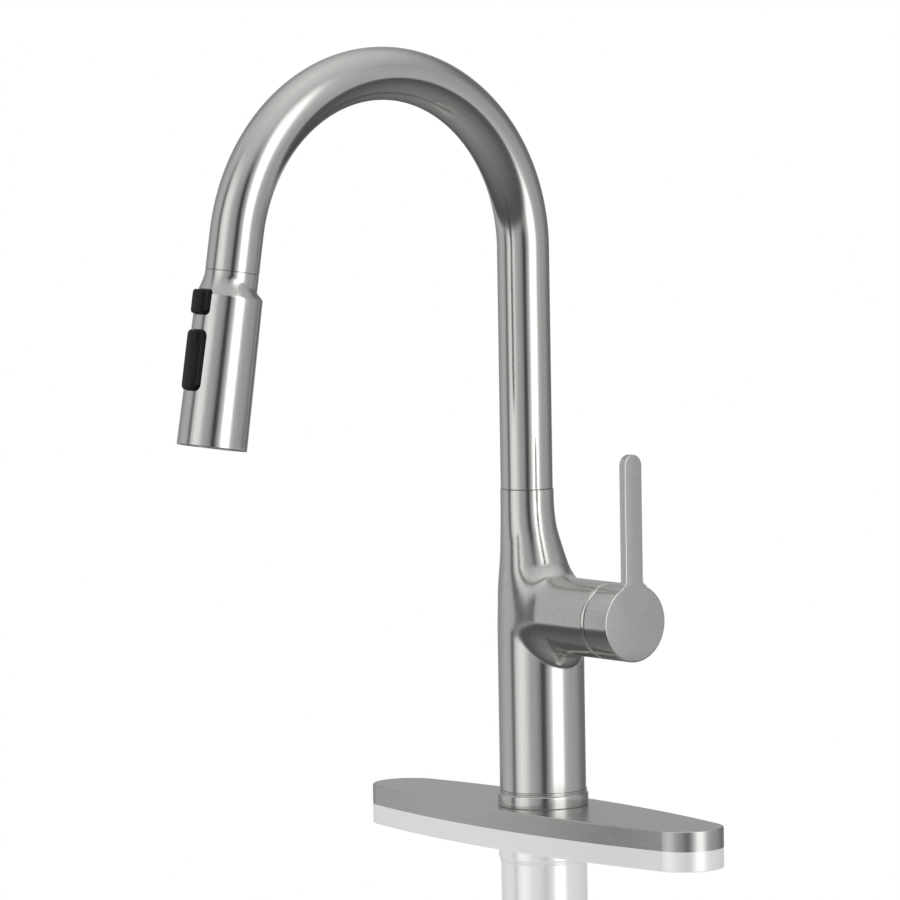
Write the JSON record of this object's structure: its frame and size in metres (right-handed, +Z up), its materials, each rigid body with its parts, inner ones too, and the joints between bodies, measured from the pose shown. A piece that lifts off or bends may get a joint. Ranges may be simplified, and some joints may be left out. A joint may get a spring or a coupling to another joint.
{
  "type": "pull down kitchen faucet",
  "caption": "Single-lever kitchen faucet on an oval deck plate: high swivelling gooseneck, side lever, and a spray head with two buttons that pulls down on a hose.",
  "frame": {"origin": "centre of the deck plate's underside, on the counter, on the mounting shank's axis", "axes": "+X along the deck plate towards the lever, -Y out over the sink with the spout, +Z up the riser"},
  "size_m": [0.275, 0.2583, 0.5319],
  "materials": {
    "brushed_nickel": "satin brushed nickel, fine grain along each part",
    "polished_nickel": "smooth nickel plate",
    "stainless": "turned stainless steel",
    "brass": "turned brass",
    "copper": "drawn copper tube",
    "liner_plastic": "moulded black plastic",
    "white_plastic": "moulded acetal",
    "grey_plastic": "moulded grey plastic",
    "aerator_plastic": "moulded light grey plastic",
    "black_button": "glossy black moulding",
    "seal_rubber": "soft black rubber",
    "foam_rubber": "closed-cell foam rubber",
    "nozzle_silicone": "soft grey silicone",
    "hose_braid": "black nylon braid over a hose",
    "ceramic": "lapped alumina"
  },
  "bodies": {
    "base": {"deck_plate": "brushed_nickel", "plate_liner": "liner_plastic", "deck_gasket": "foam_rubber", "base_ring": "brushed_nickel", "foot_seal": "seal_rubber", "mounting_shank": "brass", "rubber_washer": "seal_rubber", "steel_washer": "stainless", "lock_nut": "brass", "hot_tail": "copper", "cold_tail": "copper", "outlet_tail": "copper", "tail_seals": "seal_rubber", "hot_inlet_fitting": "brass", "cold_inlet_fitting": "brass", "outlet_spigot": "brass", "faucet_body": "brushed_nickel", "spout_set_screw": "stainless", "lower_hose": "hose_braid", "hose_coupling": "brass", "cartridge_base": "white_plastic", "cartridge_seals": "seal_rubber", "fixed_disc": "ceramic", "cartridge_shell": "white_plastic", "cartridge_nut": "brass", "dome_cover": "polished_nickel"},
    "spout": {"spout_tube": "brushed_nickel", "swivel_spigot": "brass", "wear_rings": "white_plastic", "swivel_seals": "seal_rubber", "pull_hose": "hose_braid", "dock_sleeve": "grey_plastic"},
    "valve_carrier": {"stem_carrier": "white_plastic", "stem_pin": "stainless"},
    "valve_disc": {"moving_disc": "ceramic"},
    "lever": {"cartridge_stem": "brass", "lever_handle": "brushed_nickel", "handle_screw": "stainless", "screw_plug": "grey_plastic"},
    "hose_end": {"hose_swivel": "brass", "hose_ferrule": "stainless"},
    "spray_head": {"head_shell": "brushed_nickel", "head_inlet": "grey_plastic", "swivel_cap": "grey_plastic", "waterway_core": "white_plastic", "rocker_pin": "stainless", "check_valve": "white_plastic", "diverter_valve": "white_plastic", "spray_face": "grey_plastic", "nozzle_mat": "nozzle_silicone", "aerator": "aerator_plastic", "pause_spring": "stainless"},
    "pause": {"pause_button": "black_button"},
    "rocker": {"mode_rocker": "black_button"}
  },
  "joints": [
    {"name": "spout_swivel", "type": "hinge", "parent": "base", "child": "spout", "pos_m": [-0.01, 0, 0.181], "axis": [0, 0, 1], "continuous": true},
    {"name": "head_pull", "type": "slide", "parent": "spout", "child": "hose_end", "axis": [0, -0.1668, -0.986], "range_m": [0, 0.42]},
    {"name": "head_turn", "type": "hinge", "parent": "hose_end", "child": "spray_head", "pos_m": [-0.01, -0.19348, 0.30595], "axis": [0, 0.1668, 0.986], "continuous": true},
    {"name": "temperature", "type": "hinge", "parent": "base", "child": "valve_carrier", "pos_m": [0.049, 0, 0.1145], "axis": [1, 0, 0], "range_deg": [-45, 45]},
    {"name": "flow", "type": "hinge", "parent": "valve_carrier", "child": "lever", "pos_m": [0.049, 0, 0.1145], "axis": [0, 1, 0], "range_deg": [0, 22]},
    {"name": "disc_slide", "type": "slide", "parent": "valve_carrier", "child": "valve_disc", "axis": [0, 0, 1], "range_m": [0, 0.0034]},
    {"name": "pause_press", "type": "slide", "parent": "spray_head", "child": "pause", "axis": [0, 0.986, -0.1668], "range_m": [0, 0.0015], "stiffness_N_per_m": 600, "springref_m": -0.001},
    {"name": "mode_rock", "type": "hinge", "parent": "spray_head", "child": "rocker", "pos_m": [-0.01, -0.21274, 0.26103], "axis": [1, 0, 0], "range_deg": [-3, 3]}
  ],
  "couplings": [
    {"joint": "disc_slide", "follows": "flow", "m_per_rad": 0.00815}
  ]
}
